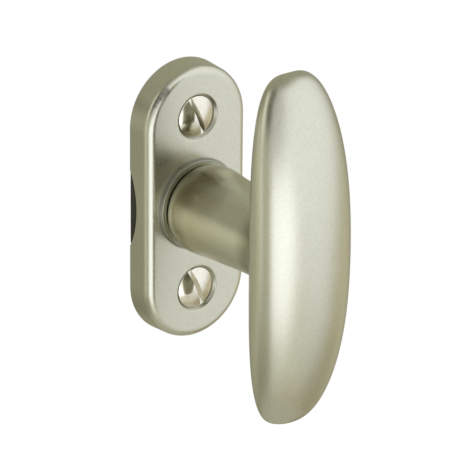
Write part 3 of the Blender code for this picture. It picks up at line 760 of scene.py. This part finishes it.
woodScrew = dict(
    rim=6.46, head=5.1, headEdge=0.12, headRoot=0.4, dome=1.35, domeRows=19, domeShare=0.97, shank=2.4,
    length=19.66, point=5.0, blunt=0.04, threadFrom=-1.0, threadGap=0.3, pitch=1.7, cut=0.30, steps=96,
    slotWidth=1.0, slotDepth=1.45, slotEdge=0.10, slotBevel=0.4, slotClear=1, slotStations=25,
    slotTurn=math.radians(22), crease=38, slotCrease=30,
)


def makeWoodScrew(name, node, side):
    look = woodScrew
    shell = Shell()
    at = (0, side * fixingPlace)
    head, shank = look["head"], look["shank"]
    ball = (head ** 2 + look["dome"] ** 2) / (2 * look["dome"])
    top, tip = look["rim"] + look["dome"], look["rim"] - look["length"]
    half = math.asin(head / ball)

    def dome(angle):
        return ball * math.sin(angle), top - ball * (1 - math.cos(angle))

    def reach(depth):
        return shank * min(1, max(look["blunt"], (depth - tip) / look["point"]))

    profile = [dome(a) for a in np.linspace(0, half, look["domeRows"])[:-1]]
    profile += softened([
        (*dome(half * look["domeShare"]), 0), (head, look["rim"], look["headEdge"]),
        (shank, look["rim"] - (head - shank), look["headRoot"]), (shank, look["threadFrom"], 0)])[1:]
    rings = shell.turned(profile, look["steps"], at)
    threadTop = look["threadFrom"] - look["threadGap"]
    upper, lower = shell.thread(reach, threadTop, tip, look["pitch"], look["cut"], look["steps"], at)
    shell.skin(rings[-1], upper)
    shell.flat(lower)
    item = shell.piece(name, node, "rose", "bright_nickel", sharp=look["crease"])
    slot = Shell()
    wide, low, long = look["slotWidth"] / 2, top - look["slotDepth"], head + look["slotClear"]
    edge, bevel, above = look["slotEdge"], look["slotBevel"], top + look["slotClear"]
    # the slot's mouth follows the dome, so that its edges are broken evenly
    shapes = []
    for y in np.linspace(-long, long, look["slotStations"]).tolist():
        mouth = top - ball + math.sqrt(ball ** 2 - min(abs(y), head) ** 2) - edge
        right = [(wide, low), (wide, mouth), (wide + bevel, mouth + bevel), (wide + bevel, above)]
        left = [(-x, d) for x, d in right[::-1]]
        shapes.append([(x, y, max(d, low)) for x, d in (left[-1], *right, *left[:-1])])
    slot.loft(shapes)
    slot.mesh.transform(Matrix.Translation((*at, 0)) @ Matrix.Rotation(look["slotTurn"], 4, "Z"))
    combine(item, slot, sharp=look["slotCrease"])


makeWoodScrew("fixingScrewTop", "fixing_screw_top", 1)
makeWoodScrew("fixingScrewBottom", "fixing_screw_bottom", -1)

# bush, cam, springs and spindle

bush = dict(
    bore=7.6, boreEdge=0.25, radius=9.2, front=8.0, frontEdge=0.2, root=0.1,
    flange=9.9, flangeBack=4.3, flangeFront=4.9, flangeEdge=0.12, segments=128,
)


def makeBush():
    shell = Shell()
    inner, outer, front = bush["bore"], bush["radius"], bush["front"]
    flange, back, step = bush["flange"], bush["flangeBack"], bush["flangeFront"]
    line = softened([
        (inner, front, bush["boreEdge"]), (outer, front, bush["frontEdge"]), (outer, step, bush["root"]),
        (flange, step, bush["flangeEdge"]), (flange, back, bush["flangeEdge"]),
        (inner, back, bush["boreEdge"])], closed=True)
    rings = shell.turned(line, bush["segments"])
    shell.skin(rings[-1], rings[0])
    shell.piece("bearingBush", "bearing_bush", "rose", "black_plastic", even=True)


makeBush()

cam = dict(half=7.9, corner=9.5, low=2.1, high=4.0, bore=7.6, flats=6.3, edge=0.18)


def clipped(half, radius, steps=192):
    # a square whose corners lie on a circle
    points = []
    for turn in np.linspace(0, math.tau, steps, endpoint=False):
        c, s = math.cos(turn), math.sin(turn)
        reach = min(radius, half / max(abs(c), abs(s)))
        points.append((reach * c, reach * s))
    return points


def makeCam():
    shell = Shell()
    outer = clipped(cam["half"], cam["corner"])
    hole = clipped(cam["flats"], cam["bore"])[::-1]
    shell.plate([outer, hole], cam["low"], cam["high"], cam["edge"])
    shell.piece("detentCam", "detent_cam", "handle", "zinc_steel", even=True)


makeCam()

leaf = dict(inner=8.2, outer=8.8, half=12.5, corner=0.25, low=2.1, high=4.0, edge=0.14)


def makeLeaf(name, node, side):
    shell = Shell()
    near, far = sorted((side * leaf["inner"], side * leaf["outer"]))
    half, corner = leaf["half"], leaf["corner"]
    ends = ((near, -half), (far, -half), (far, half), (near, half))
    outline = softened([(x, y, corner) for x, y in ends], closed=True)
    shell.plate([outline], leaf["low"], leaf["high"], leaf["edge"])
    shell.piece(name, node, "rose", "spring_steel", even=True)


makeLeaf("leafSpringLeft", "detent_spring_left", -1)
makeLeaf("leafSpringRight", "detent_spring_right", 1)

bar = dict(half=3.5, low=-13.5, high=26.5, corner=0.35, chamfer=0.7)


def makeSpindle():
    shell = Shell()
    half, low, high, chamfer = bar["half"], bar["low"], bar["high"], bar["chamfer"]
    full = square(half, bar["corner"])
    small = [(x * (half - chamfer) / half, y * (half - chamfer) / half) for x, y in full]
    rings = shell.stacked([(small, low), (full, low + chamfer), (full, high - chamfer), (small, high)])
    shell.flat(rings[0])
    shell.flat(rings[-1])
    shell.piece("squareSpindle", "square_spindle", "handle", "zinc_steel", even=True)


makeSpindle()

# base inside the rose, its small screws, the grub screw and the open ring

base = dict(
    radius=12.1, straight=19.7, front=4.9, edge=0.3, edgeShare=0.9,
    pocket=10.7, pocketCorner=2.0, pocketSteps=8,
    slotNear=7.9, slotFar=9.1, slotHalf=12.8, slotEnd=4.3, slotClear=1,
    fixingHole=4.92, fixingSegments=72,
    screwClear=2.4, screwHole=1.4, screwStep=2.5, coneBack=0.2,
    boreEdge=0.1, boreMargin=0.2, boreSteps=3, boreSegments=32,
    earRoot=11.5, earReach=14.15, earRadius=18.356, earTop=2.3, earBack=0.02, earRound=0.3, earBevel=0.3,
    earSteps=41, pinMark=1.3, pinMarkDepth=0.2, pinDraft=0.05, pinFromEnd=2.6, pinSegments=24,
)


def makeBase():
    shell = Shell()
    front, edge, soft = base["front"], base["edge"], base["edge"] * base["edgeShare"]
    # (inwards, depth) of a wall with broken edges
    wallLine = softened([(edge, 0, 0), (0, 0, soft), (0, front, soft), (edge, front, 0)])
    half, corner = base["pocket"], base["pocketCorner"]
    pocketEnds = ((half, half), (half, -half), (-half, -half), (-half, half))
    pocket = softened([(x, y, corner) for x, y in pocketEnds], base["pocketSteps"], True)
    ends = []
    for outline in (oblong(base["radius"], base["straight"]), pocket):
        rings = shell.stacked([(inset(outline, inwards), depth) for inwards, depth in wallLine])
        ends.append((rings[0], rings[-1]))
    clear, hole, cone, step = base["screwClear"], base["screwHole"], base["coneBack"], base["screwStep"]
    lip, edge = clear + base["boreMargin"], base["boreEdge"]
    bore = softened([
        (lip, 0, 0), (clear, 0, edge), (clear, cone, 0), (hole, cone + clear - hole, 0),
        (hole, step, 0), (clear, step, 0), (clear, front, edge), (lip, front, 0)], base["boreSteps"])
    boss = [(base["fixingHole"] + inwards, depth) for inwards, depth in wallLine]
    mark, sunk = base["pinMark"], base["pinMarkDepth"]
    pinEnd = base["straight"] + base["radius"] - base["pinFromEnd"]
    x, y = smallPlace
    marks = []
    for turn in (1, -1):
        for profile, at, segments in ((boss, (0, turn * fixingPlace), base["fixingSegments"]),
                                      (bore, (turn * x, turn * y), base["boreSegments"])):
            rings = shell.turned(profile, segments, at)
            ends.append((rings[0], rings[-1]))
        # round marks that the mould's ejector pins leave
        for spot in ((-turn * x, turn * y), (0, turn * pinEnd)):
            profile = [(mark, 0), (mark - base["pinDraft"], sunk), (0, sunk)]
            marks.append(shell.turned(profile, base["pinSegments"], spot)[0])
    shell.flat(*[low for low, high in ends], *marks)
    shell.flat(*[high for low, high in ends])
    item = shell.piece("detentBase", "detent_housing", "rose", "black_plastic")
    # the ears that fill the arcs in the rose's sides
    radius, top, back = base["earRadius"], base["earTop"], base["earBack"]
    centre = top - radius
    span = math.asin(math.sqrt(radius ** 2 - centre ** 2) / radius)
    turns = np.linspace(span, -span, base["earSteps"])
    arch = [(radius * math.sin(t), centre + radius * math.cos(t)) for t in turns]
    reach, soft = base["earReach"], base["earRound"]
    bevel = soft * base["earBevel"]
    for side in (-1, 1):
        ear = Shell()
        shapes = []
        for x, drop in ((base["earRoot"], 0), (reach - soft, 0), (reach - bevel, bevel), (reach, soft)):
            lower = 1 - drop / top
            shapes.append([(side * x, y, back + d * lower) for y, d in arch[1:-1]])
            shapes[-1] += [(side * x, y, back) for y in (arch[-1][0], arch[0][0])]
        ear.loft(shapes)
        combine(item, ear, "UNION")
        slot = Shell()
        near, far = sorted((side * base["slotNear"], side * base["slotFar"]))
        slot.box((near, -base["slotHalf"], -base["slotClear"]), (far, base["slotHalf"], base["slotEnd"]))
        combine(item, slot)


makeBase()

baseScrew = dict(
    back=0.2, head=2.1, headEdge=0.12, shank=1.1, neck=0.2, neckRound=0.15, tip=5.4, blunt=0.1,
    threadFrom=0.3, pitch=0.85, cut=0.3, steps=40, slotHalf=0.4, slotDepth=0.8, slotClear=1, slotCrease=30,
)


def makeBaseScrew(name, node, side):
    look = baseScrew
    x, y = side * smallPlace[0], side * smallPlace[1]
    back, head, shank, tip = look["back"], look["head"], look["shank"], look["tip"]
    shell = Shell()
    coneEnd = back + head - shank
    profile = softened([(0, back, 0), (head, back, look["headEdge"]), (shank, coneEnd, look["neckRound"]),
                        (shank, coneEnd + look["neck"], 0)])
    rings = shell.turned(profile, look["steps"], (x, y))

    def reach(depth):
        return min(shank, max(look["blunt"], tip - depth))

    threadEnd = coneEnd + look["threadFrom"]
    point, root = shell.thread(reach, tip, threadEnd, look["pitch"], look["cut"], look["steps"], (x, y))
    shell.skin(rings[-1], root)
    shell.flat(point)
    item = shell.piece(name, node, "rose", "zinc_steel")
    slot = Shell()
    wide, clear = look["slotHalf"], look["slotClear"]
    low = (x - wide, y - head - clear, back - clear)
    slot.box(low, (x + wide, y + head + clear, back + look["slotDepth"]))
    combine(item, slot, sharp=look["slotCrease"])


makeBaseScrew("baseScrewUpper", "housing_screw_upper", 1)
makeBaseScrew("baseScrewLower", "housing_screw_lower", -1)

grub = dict(
    radius=2.0, inner=3.8, setback=0.6, chamfer=0.3, pitch=0.8, cut=0.12, steps=48, cup=1.1, cupShare=0.5,
    socket=1.15, socketDepth=2.0, socketMouth=0.12, drillPoint=0.25,
)


def makeGrubScrew():
    shell = Shell()
    radius, low, steps, chamfer = grub["radius"], grub["inner"], grub["steps"], grub["chamfer"]
    high = neckRadius(grubDepth) - grub["setback"]

    def reach(depth):
        return radius

    outer, inner = shell.thread(reach, high - chamfer, low + chamfer, grub["pitch"], grub["cut"], steps)
    levels = ((radius - chamfer, high), (radius - chamfer, low), (grub["cup"], low))
    face, foot, cup = [shell.ring(raised(circle(r, steps), d)) for r, d in levels]
    shell.skin(outer, face)
    shell.skin(inner, foot, cup)
    shell.tip(cup, (0, 0, low + grub["cup"] * grub["cupShare"]))
    # hexagon socket with a broken mouth and a drilled end
    wide, mouth, end = grub["socket"], grub["socketMouth"], high - grub["socketDepth"]
    levels = ((wide + mouth, high), (wide, high - mouth), (wide, end))
    hexagon = [shell.ring(raised(circle(r, 6), d)) for r, d in levels]
    shell.flat(face, hexagon[0])
    shell.skin(*hexagon)
    shell.tip(hexagon[-1], (0, 0, end - grub["drillPoint"]))
    shell.piece("grubScrew", "grub_screw", "handle", "zinc_steel", world=grubToWorld)


makeGrubScrew()

openRing = dict(
    inner=6.8, innerRound=0.4, outer=8.6, low=1.2, high=1.8, edge=0.1, opening=math.radians(70),
    lugReach=10.0, lugTurn=math.radians(22), lugRound=0.5, lugHole=0.5, lugPoints=5, arcPoints=97,
    holeSegments=24,
)


def makeOpenRing():
    look = openRing
    start = -math.pi / 2 + look["opening"] / 2
    end = math.pi - start
    lug, lugPoints, arcPoints = look["lugTurn"], look["lugPoints"], look["arcPoints"]

    def stretch(radius, first, last, count, corner=0):
        # an arc whose two ends are rounded off
        turns = np.linspace(first, last, count)
        return [(radius * math.cos(t), radius * math.sin(t), corner if i in (0, count - 1) else 0)
                for i, t in enumerate(turns)]

    outline = stretch(look["lugReach"], start, start + lug, lugPoints, look["lugRound"])
    outline += stretch(look["outer"], start + lug, end - lug, arcPoints)
    outline += stretch(look["lugReach"], end - lug, end, lugPoints, look["lugRound"])
    outline += stretch(look["inner"], end, start, arcPoints, look["innerRound"])
    middle = (look["inner"] + look["lugReach"]) / 2
    holes = []
    for turn in (start + lug / 2, end - lug / 2):
        at = (middle * math.cos(turn), middle * math.sin(turn))
        holes.append(circle(look["lugHole"], look["holeSegments"], at)[::-1])
    shell = Shell()
    shell.plate([softened(outline, closed=True), *holes], look["low"], look["high"], look["edge"])
    shell.piece("openRing", "retaining_ring", "handle", "spring_steel", even=True)


makeOpenRing()

# floor, light and camera: lengths are in metres, only the camera's aim is in millimetres

floorLook = dict(
    depth=0.42, radius=0.30, lip=0.01, lipDrop=0.004, thick=0.01, segments=96, fadeFrom=0.20,
    pale=(0.86, 0.83, 0.75), deep=(0.82, 0.79, 0.71), patch=0.15, rough=0.8,
)


def makeFloor():
    look = floorLook
    shell = Shell()
    shell.turned([(0, 0), (look["radius"], 0), (look["radius"] + look["lip"], -look["lipDrop"]),
                  (0, -look["thick"])], look["segments"])
    data = shell.data("floor", Matrix())
    net = Net(bpy.data.materials.new("paleFloor"))
    place = net.objectPlace()
    colour = net.mixed(net.grain(place, look["patch"]), look["deep"], look["pale"])
    # the floor thins out towards its rim, so that it has no edge from above
    solid = net.eased(net.vector("LENGTH", {0: place}, out=1), look["radius"], look["fadeFrom"])
    data.materials.append(net.coated({"Base Color": colour, "Roughness": look["rough"], "Alpha": solid}))
    item = bpy.data.objects.new("floor", data)
    item.location.z = -look["depth"]
    scene.collection.objects.link(item)


makeFloor()

tentLook = dict(
    radius=1.7, fineness=5, level=(0.38, 0.36, 0.255),
    # soft patches of light and shade on the cloth: azimuth, elevation, half angle, softness, colour
    patches=[
        (-150, -10, 35, 20, (0.35, 0.34, 0.25)),
        (-80, 0, 30, 16, (0.64, 0.62, 0.49)),
        (22, 27, 60, 32, (1.22, 1.23, 1.23)),
        (-45, 32, 24, 18, (0.74, 0.74, 0.70)),
        (0, 90, 26, 16, (0.42, 0.40, 0.31)),
        (-8, -50, 24, 15, (0.80, 0.78, 0.66)),
        (-39, -17, 13, 12, (1.78, 1.79, 1.82)),
        (-18, -17, 13, 12, (1.82, 1.83, 1.87)),
        (-104, -13, 10, 8, (1.05, 1.03, 0.88)),
        (-106, 15, 9, 8, (1.28, 1.26, 1.10)),
        (-110, 36, 9, 8, (1.16, 1.14, 0.99)),
        (155, 35, 40, 20, (0.46, 0.455, 0.335)),
        (-148, -21, 20, 12, (0.51, 0.495, 0.365)),
        (-122, -22, 10, 9, (0.68, 0.66, 0.49)),
        (-132, -4, 9, 9, (0.80, 0.78, 0.59)),
        (82, -31, 18, 14, (0.68, 0.62, 0.44)),
        (75, -50, 15, 11, (0.46, 0.41, 0.28)),
        (16, -76, 18, 14, (0.54, 0.47, 0.28)),
        (-74, 27, 12, 9, (0.05, 0.045, 0.03)),
        (-70, 52, 12, 9, (0.20, 0.19, 0.14)),
    ],
)


def compass(azimuth, elevation):
    a, e = math.radians(azimuth), math.radians(elevation)
    return (math.sin(a) * math.cos(e), -math.cos(a) * math.cos(e), math.sin(e))


def makeTent():
    ball = bmesh.new()
    bmesh.ops.create_icosphere(ball, subdivisions=tentLook["fineness"], radius=tentLook["radius"])
    data = bpy.data.meshes.new("lightTent")
    ball.to_mesh(data)
    ball.free()
    data.shade_smooth()
    net = Net(bpy.data.materials.new("tentCloth"))
    way = net.vector("NORMALIZE", {0: net.objectPlace()})
    colour = tentLook["level"]
    for azimuth, elevation, wide, soft, level in tentLook["patches"]:
        cosine = net.vector("DOT_PRODUCT", {0: way, 1: compass(azimuth, elevation)}, out=1)
        outer, inner = math.radians(wide + soft), math.radians(max(0, wide - soft))
        colour = net.mixed(net.eased(cosine, math.cos(outer), math.cos(inner)), colour, level)
    cloth = net.finish(net.node("ShaderNodeEmission", None, {"Color": colour, "Strength": 1.0}))
    cloth.cycles.emission_sampling = "NONE"
    data.materials.append(cloth)
    item = bpy.data.objects.new("lightTent", data)
    scene.collection.objects.link(item)
    item.visible_camera = False
    item.visible_shadow = False


makeTent()

worldLook = dict(colour=(1, 1, 1, 1), unseen=0.8)


def makeWorld():
    # white to the camera and in reflections, dimmer for other rays
    world = bpy.data.worlds.new("white")
    scene.world = world
    net = Net(world)
    rays = net.outputs("ShaderNodeLightPath")
    seen = rays["Is Camera Ray"] + rays["Is Glossy Ray"] + rays["Is Transmission Ray"]
    seen = net.node("ShaderNodeMath", {"operation": "MINIMUM"}, {0: seen, 1: 1.0})
    strength = seen * (1 - worldLook["unseen"]) + worldLook["unseen"]
    shown = net.node("ShaderNodeBackground", None, {"Color": worldLook["colour"], "Strength": strength})
    net.node("ShaderNodeOutputWorld", None, {"Surface": shown})


makeWorld()

view = dict(
    azimuth=-36.506, elevation=21.937, roll=0.192, distance=1.0, lens=326.9, sensor=36, aim=(13.0, -9.54),
    clip=(0.05, 20),
)


def makeCamera():
    back = Vector(compass(view["azimuth"], view["elevation"]))
    across = Vector(compass(view["azimuth"] + 90, 0))
    up = back.cross(across)
    turn = math.radians(view["roll"])
    c, s = math.cos(turn), math.sin(turn)
    across, up = across * c + up * s, up * c - across * s
    place = back * view["distance"]
    aim = across * view["aim"][0] * mm + up * view["aim"][1] * mm
    z = (place - aim).normalized()
    x = up.cross(z).normalized()
    y = z.cross(x)
    data = bpy.data.cameras.new("camera")
    data.lens = view["lens"]
    data.sensor_width = view["sensor"]
    data.clip_start, data.clip_end = view["clip"]
    item = bpy.data.objects.new("camera", data)
    item.matrix_world = Matrix.Translation(place) @ Matrix((x, y, z)).transposed().to_4x4()
    scene.collection.objects.link(item)
    scene.camera = item


makeCamera()
scene.view_settings.view_transform = "Standard"
print("stage ready")
